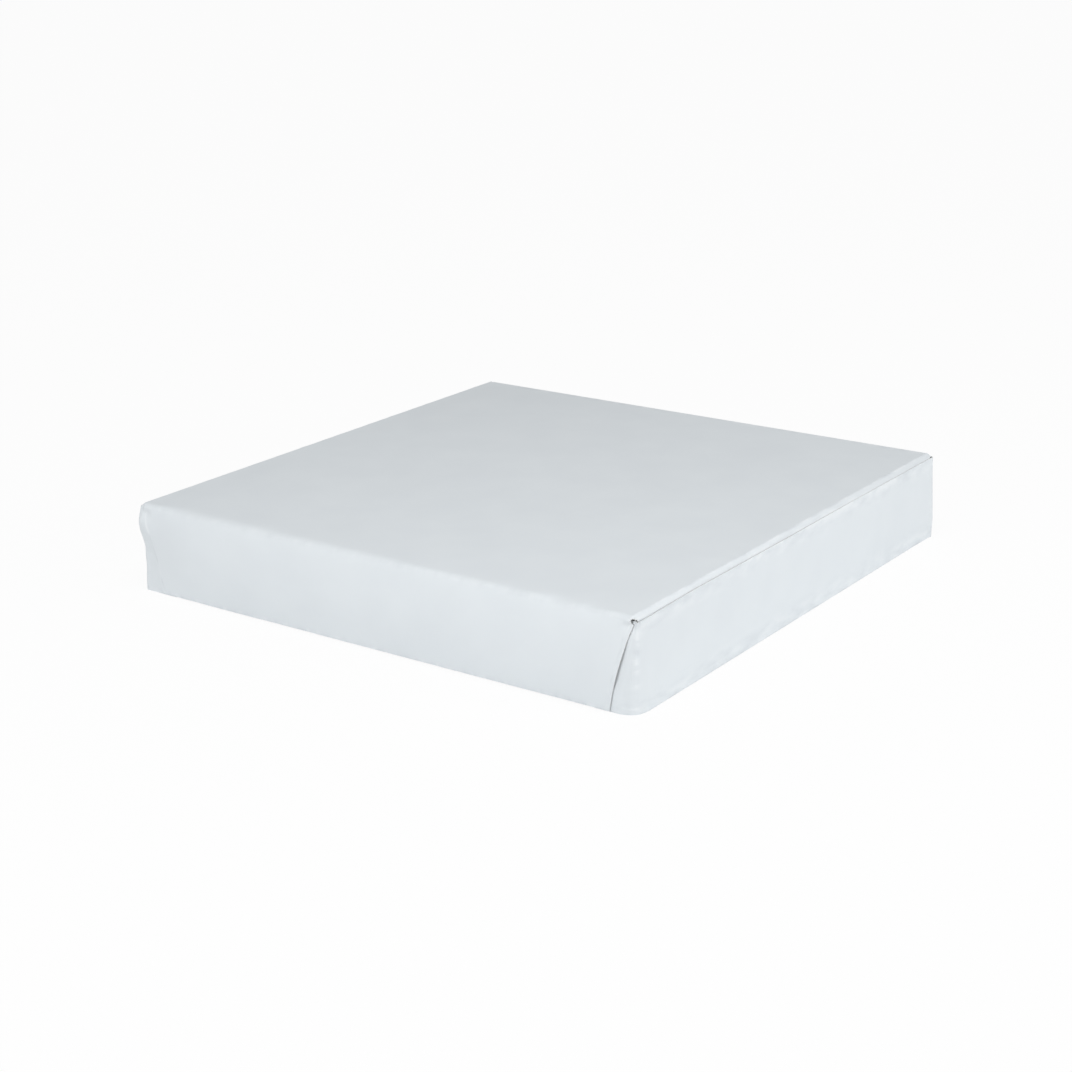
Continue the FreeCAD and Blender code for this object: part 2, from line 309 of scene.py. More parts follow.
def tab_height(height, past):
    """Height in a tab whose edges slope together, at a distance past the corner."""
    share = min(max((past - TAB_FULL_LENGTH) / (TAB_LENGTH - TAB_FULL_LENGTH), 0), 1)
    low = TAB_FOOT_RISE * share
    high = SIDE_WALL_TOP - TAB_TOP_DROP * share
    return low + (high - low) * (height - CREASE_TOP) / (SIDE_WALL_TOP - CREASE_TOP)


def hook_line(height):
    """Height in the side wall of the line that becomes an edge of the hook."""
    low = TAB_FOOT_RISE
    high = SIDE_WALL_TOP - TAB_TOP_DROP
    return CREASE_TOP + (height - low) / (high - low) * (SIDE_WALL_TOP - CREASE_TOP)


def wall_flat(height, start):
    """Flat place, past a crease, of a height in the wall above it."""
    return start + height - CREASE_TOP


HOOK_LINES = (hook_line(HOOK_LIFT), hook_line(HOOK_LIFT + HOOK_HEIGHT))
SLIT_HEIGHTS = (HOOK_LIFT - SLIT_CLEARANCE, HOOK_LIFT + HOOK_HEIGHT + SLIT_CLEARANCE)
SLIT_ENDS = (HALF_WIDTH - TAB_LENGTH - HOOK_JOG - SLIT_CLEARANCE,
             HALF_WIDTH - TAB_LENGTH + SLIT_CLEARANCE)


def tray_blank():
    side_heights = spread(CREASE_TOP, SIDE_WALL_TOP, WALL_STEP)
    us = lines_across(
        both_sides([END_WALL_HALF_WIDTH, REAR_WALL_HALF_WIDTH, SIDE_CREASE, SIDE_WALL_START,
                    *SLIT_ENDS, wall_flat(SIDE_WALL_TOP, SIDE_WALL_START),
                    *(wall_flat(h, SIDE_WALL_START) for h in HOOK_LINES)]),
        both_sides(spread(SIDE_CREASE, SIDE_WALL_START, CREASE_LENGTH / 4)),
        both_sides(spread(0, HALF_WIDTH - 25 * MM, PANEL_STEP)),
        both_sides(spread(HALF_WIDTH - 25 * MM, END_WALL_HALF_WIDTH, CORNER_STEP)),
        both_sides(wall_flat(h, SIDE_WALL_START) for h in side_heights))
    vs = lines_across(
        both_sides([CORNER_START, CORNER_END, END_CREASE, END_WALL_START, TAB_END, HOOK_END,
                    *(wall_flat(h, END_WALL_START) for h in SLIT_HEIGHTS)]),
        [-wall_flat(FRONT_WALL_TOP, END_WALL_START), wall_flat(REAR_WALL_TOP, END_WALL_START)],
        both_sides(spread(END_CREASE, END_WALL_START, CREASE_LENGTH / 4)),
        both_sides(spread(CORNER_START, CORNER_END, CORNER_MID * math.pi / 16)),
        both_sides(spread(0, CORNER_START - 25 * MM, PANEL_STEP)),
        both_sides(spread(CORNER_START - 25 * MM, CORNER_START, CORNER_STEP)),
        both_sides(spread(CORNER_END, CORNER_END + 25 * MM, CORNER_STEP)),
        both_sides(spread(CORNER_END + 25 * MM, TAB_END, PANEL_STEP)),
        both_sides(spread(TAB_END, HOOK_END, CORNER_STEP)))
    return flat_blank(us, vs)


def is_tray_waste(u, v):
    across, along = abs(u), abs(v)
    if across > SIDE_WALL_START:
        height = across - SIDE_WALL_START + CREASE_TOP
        in_hook = HOOK_LINES[0] < height < HOOK_LINES[1]
        return along > HOOK_END or (along > TAB_END and not in_hook)
    if across > SIDE_CREASE:
        return along > CORNER_START
    if along < END_CREASE:
        return False
    height = along - END_WALL_START + CREASE_TOP
    top = FRONT_WALL_TOP if v < 0 else REAR_WALL_TOP
    in_slit = SLIT_ENDS[0] < across < SLIT_ENDS[1] and SLIT_HEIGHTS[0] < height < SLIT_HEIGHTS[1]
    end = END_WALL_HALF_WIDTH if v < 0 else REAR_WALL_HALF_WIDTH
    return across > end or height > top or in_slit


def side_wall_place(across, along):
    """Folded place in the right side wall or its rear tab. The others are mirrored."""
    distance, height = turned_crease(across, SIDE_CREASE)
    if distance < SIDE_MID - SAME_PLACE or along <= CORNER_START:
        return Vector((distance, along, height))
    x, y = wrapped(along)
    past = HALF_WIDTH - x
    jog = min(max((past - TAB_LENGTH) / HOOK_JOG, 0), 1)
    return Vector((x, y - jog * 2 * (BOARD + LAYER_GAP), tab_height(height, past)))


def tray_place(u, v):
    across, along = abs(u), abs(v)
    if across > SIDE_CREASE + SAME_PLACE:
        point = side_wall_place(across, along)
    elif along > END_CREASE + SAME_PLACE:
        y, height = turned_crease(along, END_CREASE)
        point = Vector((across, y, height))
    else:
        point = Vector((across, along, HALF_BOARD))
    point.x = math.copysign(point.x, u)
    point.y = math.copysign(point.y, v)
    return softened_tray(point)


def pressed_near_corner(point):
    """Plan place with the front right corner pressed round at its foot and tight at its rim."""
    start_x, start_y = HALF_WIDTH - NEAR_CORNER_PRESS, HALF_DEPTH - NEAR_CORNER_PRESS
    a = (point.x - start_x) / NEAR_CORNER_PRESS
    b = (-point.y - start_y) / NEAR_CORNER_PRESS
    if a <= 0 or b <= 0:
        return point.x, point.y
    share = max(0, 1 - point.z / SIDE_WALL_TOP)
    x = start_x + NEAR_CORNER_PRESS * a * math.sqrt(1 - b * b / 2)
    y = -start_y - NEAR_CORNER_PRESS * b * math.sqrt(1 - a * a / 2)
    return point.x + (x - point.x) * share, point.y + (y - point.y) * share


def belly(x, y, z):
    """How far the tray's side and end walls stand out: spread feet and soft, bulging corners."""
    height = min(max(z / SIDE_WALL_TOP, 0), 1)
    arch = math.sin(math.pi * height)
    out = 0.25 * MM * arch * ripple(x, y, 3.1, 38 * MM)
    near = math.hypot(x - HALF_WIDTH, y + HALF_DEPTH)
    left = math.hypot(x + HALF_WIDTH, y + HALF_DEPTH)
    rear = math.hypot(x - HALF_WIDTH, y - HALF_DEPTH)
    bulge = hump(z, 36 * MM, 8 * MM) - 0.3 * hump(z, 18 * MM, 8 * MM)
    out += LEFT_CORNER_BELLY * hump(left, 0, 10 * MM) * bulge
    out += REAR_CORNER_BELLY * hump(rear, 0, 12 * MM) * hump(z, 15 * MM, 15 * MM)
    foot = FOOT_SPREAD * (1 - height)
    beside = out + foot + NEAR_SIDE_BELLY * hump(near, 0, 14 * MM) * arch
    before = out + 0.7 * foot
    if y < 0:
        before += NEAR_TAB_BELLY * smooth(x, 116 * MM, 141 * MM) * arch
    return beside, before


def rim_lean(point):
    """Side wall rims lean inwards until they touch the lid's side folds, away from the corners."""
    along = smooth(HALF_DEPTH - abs(point.y), 1.5 * MM, 9 * MM)
    in_wall = smooth(abs(point.x), 151 * MM, 151.6 * MM)
    tuck = RIM_TUCK + RIM_TUCK_REAR * smooth(point.y, -60 * MM, 40 * MM)
    return tuck * along * in_wall * smooth(point.z, 34 * MM, 43.5 * MM)


def tucked_tab(point):
    """Share in which a place belongs to the start of a front tab, tucked under the lid's hole."""
    return smooth(-point.y, 151.2 * MM, 152 * MM) * smooth(abs(point.x), 143 * MM, 147.5 * MM)


def in_end_wall(x, y):
    """Whether a place is in the front or rear wall, and not in a tab that lies outside it."""
    return abs(x) < END_WALL_HALF_WIDTH + 0.01 * MM and abs(abs(y) - WALL_MID) < 0.5 * MM


def rim_rise(point):
    """How much higher the tray's rims stand. The front wall stands lower, under the lid's dents
    and behind the tabs that are tucked under the lid's holes."""
    x, y, z = point
    if in_end_wall(x, y):
        crushed = front_sag(x) + 0.1 * front_ease(x)
        up = -(WALL_END_DROP * smooth(abs(x), 141 * MM, 145 * MM) + crushed) * (y < 0)
    else:
        up = RIM_RISE + RIM_RISE_MIDDLE * smooth(y, -150 * MM, -100 * MM)
        up += RIM_RISE_REAR * smooth(y, -20 * MM, 60 * MM)
        up = up * smooth(abs(x), 132 * MM, 150 * MM) + TUCKED_TAB_RISE * tucked_tab(point)
        up += LEFT_CORNER_RISE * hump(math.hypot(x + HALF_WIDTH, y + HALF_DEPTH), 0, 7 * MM)
    return up * smooth(z, 28 * MM, 44 * MM)


def softened_tray(point):
    """The folded tray with the softness of used board."""
    x, y = pressed_near_corner(point)
    reach = smooth(max(abs(x), abs(y)), 110 * MM, 150 * MM)
    share_x = (abs(x) / HALF_WIDTH) ** 40
    share_y = (abs(y) / HALF_DEPTH) ** 40
    length = math.hypot(share_x, share_y) + 1e-9
    beside, before = belly(x, y, point.z)
    x += math.copysign(reach * beside * share_x / length, x)
    x -= math.copysign(rim_lean(point), x)
    y += math.copysign(reach * before * share_y / length, y)
    y += TUCKED_TAB_DEPTH * tucked_tab(point) * smooth(point.z, 38 * MM, 44 * MM)
    return Vector((x, y, point.z + rim_rise(point)))


# Share of painted highlight and shade, partly also worn coat, at the tray's foot creases, rims and
# corners.
def tray_light_and_wear_marks(u, v):
    across, along = abs(u), abs(v)
    foot = hump(across, (SIDE_CREASE + SIDE_WALL_START) / 2, 1.0 * MM)
    foot_end = hump(along, (END_CREASE + END_WALL_START) / 2, 1.0 * MM)
    rim = hump(across, wall_flat(SIDE_WALL_TOP, SIDE_WALL_START), 1.0 * MM)
    corner = 0.3 * hump(along, (CORNER_START + CORNER_END) / 2, 2.5 * MM)
    return max(foot, foot_end, rim, corner if across > SIDE_CREASE else 0)


def make_tray(materials):
    bm = tray_blank()
    cut_away(bm, is_tray_waste)
    fold(bm, tray_place, tray_light_and_wear_marks)
    bmesh.ops.reverse_faces(bm, faces=bm.faces)
    piece = board_object("tray_board", bm, materials)
    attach(piece, "tray")
    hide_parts("tray")
    return piece


def bow_start():
    """Turn at which the tight front fold runs on into the wide bow of the flap."""
    spread_out = BOW_RADIUS - FOLD_RADIUS
    foot_y = -(HALF_DEPTH + FLAP_FOOT_GAP + BOARD) - FOLD_Y
    foot_z = flap_low.z - FOLD_Z
    reach = math.hypot(foot_y, foot_z)
    share = (reach ** 2 + spread_out ** 2 - BOW_RADIUS ** 2) / (2 * spread_out * reach)
    return math.acos(share) - math.atan2(-foot_y, -foot_z)


BOW_START = bow_start()
BOW_Y = FOLD_Y + (BOW_RADIUS - FOLD_RADIUS) * math.sin(BOW_START)
BOW_Z = FOLD_Z - (BOW_RADIUS - FOLD_RADIUS) * math.cos(BOW_START)
BOW_MID = BOW_RADIUS - HALF_BOARD
BOW_END = math.acos((flap_low.z - BOW_Z) / BOW_RADIUS)
FOLD_FLAT_END = FOLD_Y - FOLD_MID * BOW_START
FLAP_FLAT_END = FOLD_FLAT_END - BOW_MID * (BOW_END - BOW_START)


def lid_blank():
    us = lines_across(
        both_sides([PANEL_HALF_WIDTH, FLAP_HALF_TOP, SHOULDER_FLAT_END,
                    DUST_FLAT_START, DUST_FLAT_END]),
        both_sides(spread(0, PANEL_HALF_WIDTH - 15 * MM, PANEL_STEP)),
        both_sides(spread(PANEL_HALF_WIDTH - 15 * MM, PANEL_HALF_WIDTH - FOLD_MID, 1.5 * MM)),
        both_sides(spread(PANEL_HALF_WIDTH - FOLD_MID, DUST_FLAT_START + 2 * MM, FOLD_STEP)),
        both_sides(spread(DUST_FLAT_START + 2 * MM, DUST_FLAT_END, PANEL_STEP)))
    vs = lines_across(
        [LID_REAR, SIDE_FOLD_REAR, DUST_FLAP_REAR, FOLD_Y, FOLD_Y - SHOULDER_REACH,
         FOLD_FLAT_END, FLAP_FLAT_END],
        spread(DUST_FLAP_REAR, FOLD_Y + 10 * MM, PANEL_STEP),
        spread(FOLD_Y + 10 * MM, FOLD_Y + FOLD_MID, 1 * MM),
        spread(FOLD_Y + FOLD_MID, FOLD_FLAT_END, FOLD_STEP),
        spread(FOLD_FLAT_END, FOLD_FLAT_END - 6 * MM, 1.5 * MM),
        spread(FOLD_FLAT_END - 6 * MM, FLAP_FLAT_END, 2.5 * MM))
    return flat_blank(us, vs)


def is_lid_waste(u, v):
    across = abs(u)
    if across < PANEL_HALF_WIDTH:
        return v > LID_REAR
    if (Vector((across, v)) - RELIEF_HOLE).length < RELIEF_RADIUS:
        return True
    if across > SHOULDER_FLAT_END and (v < FOLD_Y or v > DUST_FLAP_REAR):
        return True
    if v > SIDE_FOLD_REAR:
        return True
    return v < FOLD_Y - SHOULDER_REACH and across > FLAP_HALF_TOP


def punch_relief_holes(bm):
    """Draw the vertices next to each relief hole onto its circle, so the cut is round."""
    for vert in bm.verts:
        from_hole = Vector((abs(vert.co.x), vert.co.y)) - RELIEF_HOLE
        if abs(from_hole.length - RELIEF_RADIUS) < 0.6 * FOLD_STEP:
            place = RELIEF_HOLE + from_hole.normalized() * RELIEF_RADIUS
            vert.co.x = math.copysign(place.x, vert.co.x)
            vert.co.y = place.y


def side_fold(share, width, break_angle):
    """Distance out and down in a side fold: a quick break, a slanted band and a tight turn down."""
    sine, cosine = math.sin(break_angle), math.cos(break_angle)
    first = FOLD_BREAK_RADIUS * break_angle
    band = (width - FOLD_BREAK_RADIUS * sine - FOLD_TURN_RADIUS * (1 - sine)) / cosine
    last = FOLD_TURN_RADIUS * (math.pi / 2 - break_angle)
    run = share * (first + band + last)
    turn = min(run, first) / FOLD_BREAK_RADIUS
    along = min(max(run - first, 0), band)
    rest = max(run - first - band, 0) / FOLD_TURN_RADIUS + break_angle
    out = FOLD_BREAK_RADIUS * math.sin(turn) + along * cosine
    out += FOLD_TURN_RADIUS * (math.sin(rest) - sine)
    down = FOLD_BREAK_RADIUS * (1 - math.cos(turn)) + along * sine
    return out, down + FOLD_TURN_RADIUS * (cosine - math.cos(rest))


def panel_edge(u, v):
    """Half width of the flat panel, where its side folds break."""
    if u < 0:
        return PANEL_EDGE_LEFT
    wander = 0.25 * MM * ripple(0, v, 9.4, 14 * MM)
    rearward = smooth(v, FOLD_Y, HALF_DEPTH)
    return PANEL_EDGE_FRONT + (PANEL_EDGE_REAR - PANEL_EDGE_FRONT) * rearward + wander


def across_lid(u, v):
    """Distance out and height in the lid's panel, side fold or dust flap."""
    across = abs(u)
    edge = panel_edge(u, v)
    if across <= PANEL_HALF_WIDTH:
        outer = smooth(across, 120 * MM, PANEL_HALF_WIDTH)
        return across + (edge - PANEL_HALF_WIDTH) * outer, LID_MID
    break_angle = math.radians(50 - 20 * smooth(v, -60 * MM, 60 * MM) if u > 0 else 70)
    share = (across - PANEL_HALF_WIDTH) / SIDE_FOLD_LENGTH
    out, down = side_fold(min(share, 1), DUST_FLAP_MID - edge, break_angle)
    if share > 1:
        depth = (across - DUST_FLAT_START) / (DUST_FLAT_END - DUST_FLAT_START)
        down += depth * (LID_MID - down - lid_low.z)
    return edge + out, LID_MID - down


def front_turn(run):
    """Distance ahead and height for the panel, front fold and bowed flap, from the flat run."""
    if run < 0:
        return run, LID_MID
    if run < FOLD_Y - FOLD_FLAT_END:
        turn = run / FOLD_MID
        return FOLD_MID * math.sin(turn), FOLD_Z + FOLD_MID * math.cos(turn)
    turn = BOW_START + (run - FOLD_Y + FOLD_FLAT_END) / BOW_MID
    return FOLD_Y - BOW_Y + BOW_MID * math.sin(turn), BOW_Z + BOW_MID * math.cos(turn)


def eased_front_turn(run, reach):
    """The same turn with its bend eased over a reach on both sides, as worn board bends."""
    ahead = height = 0
    for step in range(1 - EASE_STEPS, EASE_STEPS):
        share = (EASE_STEPS - abs(step)) / EASE_STEPS ** 2
        place = front_turn(run + step / EASE_STEPS * reach)
        ahead += place[0] * share
        height += place[1] * share
    return ahead, height


def front_ease(u):
    """How far the front fold's bend is eased at a place along it: most at the left."""
    ends = smooth(PANEL_HALF_WIDTH - abs(u), 0, 18 * MM)
    reach = (7.5 - 4.5 * smooth(u, -80 * MM, 60 * MM)) * MM
    return reach * ends * (1 + 0.6 * ripple(u, 0, 1.7, 15 * MM))


def flap_place(u, v):
    """Folded place in the front fold or the bowed front flap, with the fold's ends drooping."""
    ahead, z = eased_front_turn(FOLD_Y - v, front_ease(u))
    side_x, side_z = across_lid(u, v)
    below = max(FOLD_Z - z, 0) / FOLD_Z
    flap_x = abs(u) * (1 - FLAP_END_TAPER * below / FLAP_HALF_TOP)
    share = smooth(v, FOLD_FLAT_END, FOLD_Y)
    x = flap_x + (side_x - flap_x) * share
    point = Vector((math.copysign(x, u), FOLD_Y - ahead, z + (side_z - LID_MID) * share))
    return point + flap_softness(point, FOLD_Y - v)


def dust_flap_taper(across, v):
    """Place along the box in a side fold or in a dust flap, which is shorter at its lower edge."""
    depth = max(across - DUST_FLAT_START, 0) / (DUST_FLAT_END - DUST_FLAT_START)
    middle = (DUST_FLAP_REAR + FOLD_Y) / 2
    half_length = (DUST_FLAP_REAR - FOLD_Y) / 2
    return middle + (v - middle) * (1 - DUST_FLAP_TAPER * depth / half_length)


def lid_place(u, v):
    if v < FOLD_Y - SAME_PLACE:
        return flap_place(u, v)
    x, z = across_lid(u, v)
    point = Vector((math.copysign(x, u), dust_flap_taper(abs(u), v), z))
    if abs(u) < PANEL_HALF_WIDTH and v < FOLD_Y + 15 * MM:
        ahead, height = eased_front_turn(FOLD_Y - v, front_ease(u))
        point += Vector((0, FOLD_Y - ahead - v, height - LID_MID))
    return point + panel_softness(u, v)


def panel_softness(u, v):
    """The panel dips a little between its folds, sinks softly into the front fold, and is creased
    beside the side folds."""
    inside = smooth(PANEL_HALF_WIDTH - abs(u), 0, 25 * MM)
    dip = 0.4 * MM * ripple(u, v, 7.3, 70 * MM) * inside * smooth(v - FOLD_Y, 0, 25 * MM)
    dip *= smooth(LID_REAR - v, 0, 25 * MM)
    crease = 0.12 * MM * ripple(u, v, 2.6, 9 * MM) * hump(PANEL_HALF_WIDTH - abs(u), 7 * MM, 5 * MM)
    sag = front_sag(u) * hump(v, FOLD_Y - 2 * MM, 4 * MM)
    crumple = 0.16 * MM * ripple(u, v, 11.9, 6 * MM)
    crumple *= hump(abs(u), PANEL_HALF_WIDTH + 1.6 * MM, 1.4 * MM)
    ends = smooth(v - FOLD_Y, 0, 6 * MM) * smooth(SIDE_FOLD_REAR - v, 0, 6 * MM)
    x = math.copysign(-crumple * ends, u)
    return Vector((x, 0.4 * sag, dip - sag + (crease - crumple) * ends))


def front_sag(u):
    """How deep the front fold is dented at a place along it."""
    return sum(depth * hump(u, place, width) for place, width, depth in FRONT_FOLD_DENTS)


def flap_softness(point, run):
    """Crushed fold and slight waves of the flap, which stays clear of the tray's tabs."""
    sag = front_sag(point.x) * hump(run, 2 * MM, 4 * MM)
    below = smooth(run, 3 * MM, 14 * MM)
    wave = 0.5 * MM * ripple(point.x, 0, 4.4, 30 * MM) * (1 - 0.5 * below)
    wave += 0.3 * MM * ripple(point.x, point.z, 5.2, 38 * MM)
    near_foot = hump(point.z, 0, 5 * MM)
    ragged = 0.12 * MM * ripple(point.x, 0, 8.6, 6 * MM) * near_foot
    y = point.y + 0.4 * sag - (wave + ragged) * smooth(run, 1 * MM, 8 * MM)
    if point.z < SIDE_WALL_TOP:
        y = clear_of_tab(point.x, y, point.z)
    return Vector((0, y - point.y, ragged - sag))


def clear_of_tab(x, y, z):
    """Keep the flap in front of the tabs, and close its ends up to them."""
    tab_y = softened_tray(Vector((x, -TAB_MID, z))).y
    resting = tab_y - BOARD - 0.15 * MM
    end = FLAP_HALF_TOP - FLAP_END_TAPER * (FOLD_Z - z) / FOLD_Z
    if x < 0:
        y += (resting - y) * smooth(-x, end - 30 * MM, end + 3 * MM)
    else:
        y += 0.78 * (resting - y) * smooth(x, end - 12 * MM, end)
    return min(y, resting)


# Share of painted highlight and shade, partly also worn coat, on the lid's side folds, front fold,
# flap foot and rear fold.
def lid_light_and_wear_marks(u, v):
    side = hump(abs(u), PANEL_HALF_WIDTH + 0.5 * MM, 0.8 * MM)
    band = 0.7 * hump(abs(u), PANEL_HALF_WIDTH + 3 * MM, 1.0 * MM)
    front = 0.25 * hump(v, FOLD_Y - 2 * MM, 2 * MM)
    foot = 0.8 * hump(v, FLAP_FLAT_END, 1.6 * MM)
    rear = 0.6 * hump(v, LID_REAR, 1.5 * MM)
    return max(side, band, front, foot, rear)


def make_lid(materials):
    bm = lid_blank()
    cut_away(bm, is_lid_waste)
    punch_relief_holes(bm)
    fold(bm, lid_place, lid_light_and_wear_marks)
    piece = board_object("lid_and_flap_board", bm, materials)
    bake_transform(piece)
    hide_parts("lid", "front_flap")
    return piece


def make_rear_fold(materials):
    """Strip of board that turns from the rear wall into the lid."""
    us = both_sides(spread(0, PANEL_HALF_WIDTH, PANEL_STEP))
    straight = REAR_FOLD_LENGTH - REAR_FOLD_RADIUS
    bend = REAR_FOLD_RADIUS * math.pi / 2
    vs = spread(0, straight, straight)[:-1] + spread(straight, straight + bend, bend / 8)
    bm = flat_blank(sorted(set(us)), vs + [2 * straight + bend])

    def place(u, v):
        turn = min(max((v - straight) / REAR_FOLD_RADIUS, 0), math.pi / 2)
        up = min(v, straight)
        back = max(v - straight - bend, 0)
        y = WALL_MID - REAR_FOLD_RADIUS * (1 - math.cos(turn)) - back
        z = REAR_WALL_TOP + up + REAR_FOLD_RADIUS * math.sin(turn)
        return Vector((u, y, z))

    fold(bm, place, lambda u, v: 0.6)
    bmesh.ops.reverse_faces(bm, faces=bm.faces)
    piece = board_object("rear_fold", bm, materials)
    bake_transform(piece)
    return piece


def new_material(name, base_color, roughness):
    material = bpy.data.materials.new(name)
    material.use_nodes = True
    shader = material.node_tree.nodes["Principled BSDF"]
    shader.inputs["Base Color"].default_value = (*base_color, 1)
    shader.inputs["Roughness"].default_value = roughness
    return material, material.node_tree, shader


def add_node(tree, kind, **values):
    """New node whose named settings or sockets take the given values."""
    node = tree.nodes.new(kind)
    for name, value in values.items():
        if hasattr(node, name):
            setattr(node, name, value)
        else:
            node.inputs[name.replace("_", " ")].default_value = value
    return node


def blank_pattern(tree, scale, detail=3.0, stretch=(1, 1, 1)):
    """Noise laid on the flat pattern of the board, so it follows every fold."""
    uv = add_node(tree, "ShaderNodeUVMap", uv_map="blank")
    mapping = add_node(tree, "ShaderNodeMapping")
    mapping.inputs["Scale"].default_value = stretch
    texture = add_node(tree, "ShaderNodeTexNoise", Scale=scale, Detail=detail)
    tree.links.new(uv.outputs["UV"], mapping.inputs["Vector"])
    tree.links.new(mapping.outputs["Vector"], texture.inputs["Vector"])
    return texture.outputs["Fac"]


def ramp(tree, value, stops):
    """Colour ramp from (position, colour) stops."""
    node = add_node(tree, "ShaderNodeValToRGB")
    elements = node.color_ramp.elements
    for index, (position, color) in enumerate(stops):
        element = elements[index] if index < 2 else elements.new(position)
        element.position = position
        element.color = (*color, 1)
    tree.links.new(value, node.inputs["Fac"])
    return node.outputs["Color"]


def flat_color(tree, color):
    node = add_node(tree, "ShaderNodeRGB")
    node.outputs[0].default_value = (*color, 1)
    return node.outputs[0]


def mixed(tree, factor, first, second):
    node = add_node(tree, "ShaderNodeMix", data_type="RGBA")
    tree.links.new(factor, node.inputs["Factor"])
    tree.links.new(first, node.inputs["A"])
    tree.links.new(second, node.inputs["B"])
    return node.outputs["Result"]


def times(tree, first, second):
    node = add_node(tree, "ShaderNodeMath", operation="MULTIPLY")
    tree.links.new(first, node.inputs[0])
    if isinstance(second, float):
        node.inputs[1].default_value = second
    else:
        tree.links.new(second, node.inputs[1])
    return node.outputs[0]


def add_bump(tree, shader, layers):
    """Stack of bumps, each a (height, distance, strength)."""
    normal = None
    for height, distance, strength in layers:
        bump = add_node(tree, "ShaderNodeBump", Distance=distance, Strength=strength)
        tree.links.new(height, bump.inputs["Height"])
        if normal is not None:
            tree.links.new(normal, bump.inputs["Normal"])
        normal = bump.outputs["Normal"]
    tree.links.new(normal, shader.inputs["Normal"])


COATED = (0.745, 0.787, 0.815)
COATED_DULL = (0.728, 0.770, 0.800)
# Lighter coat on folds and edges: partly painted highlight, partly worn coat.
COATED_HIGHLIGHT_AND_RUBBED = (0.800, 0.835, 0.858)
# Darker coat on folds and edges: partly painted shade, partly dirt.
COATED_SHADE_AND_SOILED = (0.675, 0.715, 0.747)
LINER = (0.590, 0.578, 0.548)
LINER_DARK = (0.530, 0.516, 0.482)
LINER_LIGHT = (0.650, 0.640, 0.612)
CORE = (0.620, 0.610, 0.585)


def crease_light_and_wear_mark(tree, pattern):
    """Where a fold or an edge gets painted highlight and shade, along with worn coat, broken up by
    a pattern.
    """
    wear_and_light_share = add_node(tree, "ShaderNodeAttribute", attribute_name="crease")
    return times(tree, wear_and_light_share.outputs["Fac"], pattern)


def coated_face():
    """Outer face: clay-coated white, nearly matt, mottled, with painted highlight and painted shade
    on the folds and edges, mixed with worn and dirtied coat.
    """
    material, tree, shader = new_material("coated_face", COATED, 0.62)
    mottle = ramp(tree, blank_pattern(tree, 34.0, 4.0), [(0.35, COATED_DULL), (0.65, COATED)])
    patches = blank_pattern(tree, 130.0, 5.0, stretch=(1.4, 0.5, 1))
    # Lighter patches on the marked folds and edges: painted highlight, partly worn coat.
    highlight_and_rub_mask = ramp(tree, patches, [(0.50, (0, 0, 0)), (0.62, (1, 1, 1))])
    # Darker patches on the marked folds and edges: painted shade, partly dirt.
    shade_and_soil_mask = ramp(tree, patches, [(0.36, (1, 1, 1)), (0.48, (0, 0, 0))])
    color = mixed(tree, crease_light_and_wear_mark(tree, highlight_and_rub_mask), mottle, flat_color(tree, COATED_HIGHLIGHT_AND_RUBBED))
    color = mixed(tree, crease_light_and_wear_mark(tree, shade_and_soil_mask), color, flat_color(tree, COATED_SHADE_AND_SOILED))
    tree.links.new(color, shader.inputs["Base Color"])
    shader.inputs["IOR"].default_value = 1.45
    fibres = blank_pattern(tree, 900.0, 4.0, stretch=(1, 0.35, 1))
    press = blank_pattern(tree, 90.0, 3.0)
    add_bump(tree, shader, [(press, 0.00025, 0.35), (fibres, 0.00004, 0.5)])
    return material


def liner_face():
    """Inner face: uncoated grey-brown board back with visible fibres and specks."""
    material, tree, shader = new_material("liner_face", LINER, 0.85)
    fibres = blank_pattern(tree, 700.0, 5.0, stretch=(1, 0.3, 1))
    tone = ramp(tree, fibres, [(0.3, LINER_DARK), (0.5, LINER), (0.75, LINER_LIGHT)])
    specks = ramp(tree, blank_pattern(tree, 1500.0, 1.0), [(0.66, (0, 0, 0)), (0.74, (1, 1, 1))])
    speck_color = ramp(tree, fibres, [(0.0, LINER_DARK), (1.0, CORE)])
    color = mixed(tree, times(tree, specks, 0.6), tone, speck_color)
    tree.links.new(color, shader.inputs["Base Color"])
    add_bump(tree, shader, [(fibres, 0.0001, 0.6)])
    return material


def cut_face():
    """Cut edge of the board: pale grey core with fine layers of fibre."""
    material, tree, shader = new_material("cut_face", CORE, 0.9)
    fibres = blank_pattern(tree, 1800.0, 3.0)
    tone = ramp(tree, fibres, [(0.3, LINER_LIGHT), (0.7, COATED_DULL)])
    tree.links.new(tone, shader.inputs["Base Color"])
    add_bump(tree, shader, [(fibres, 0.00005, 0.6)])
    return material


def make_camera():
    a, e, r = (math.radians(v) for v in (CAMERA_AZIMUTH, CAMERA_ELEVATION, CAMERA_ROLL))
    back = Vector((math.sin(a) * math.cos(e), -math.cos(a) * math.cos(e), math.sin(e)))
    level = Vector((math.cos(a), math.sin(a), 0))
    steep = back.cross(level)
    right = math.cos(r) * level + math.sin(r) * steep
    up = math.cos(r) * steep - math.sin(r) * level
    data = bpy.data.cameras.new("camera")
    data.lens = CAMERA_LENS
    data.sensor_width = SENSOR_WIDTH
    camera = bpy.data.objects.new("camera", data)
    place = CAMERA_OFFSET[0] * right + CAMERA_OFFSET[1] * up + CAMERA_DISTANCE * back
    turn = Matrix((right, up, back)).transposed().to_4x4()
    camera.matrix_world = Matrix.Translation(place) @ turn
    bpy.context.scene.collection.objects.link(camera)
    bpy.context.scene.camera = camera


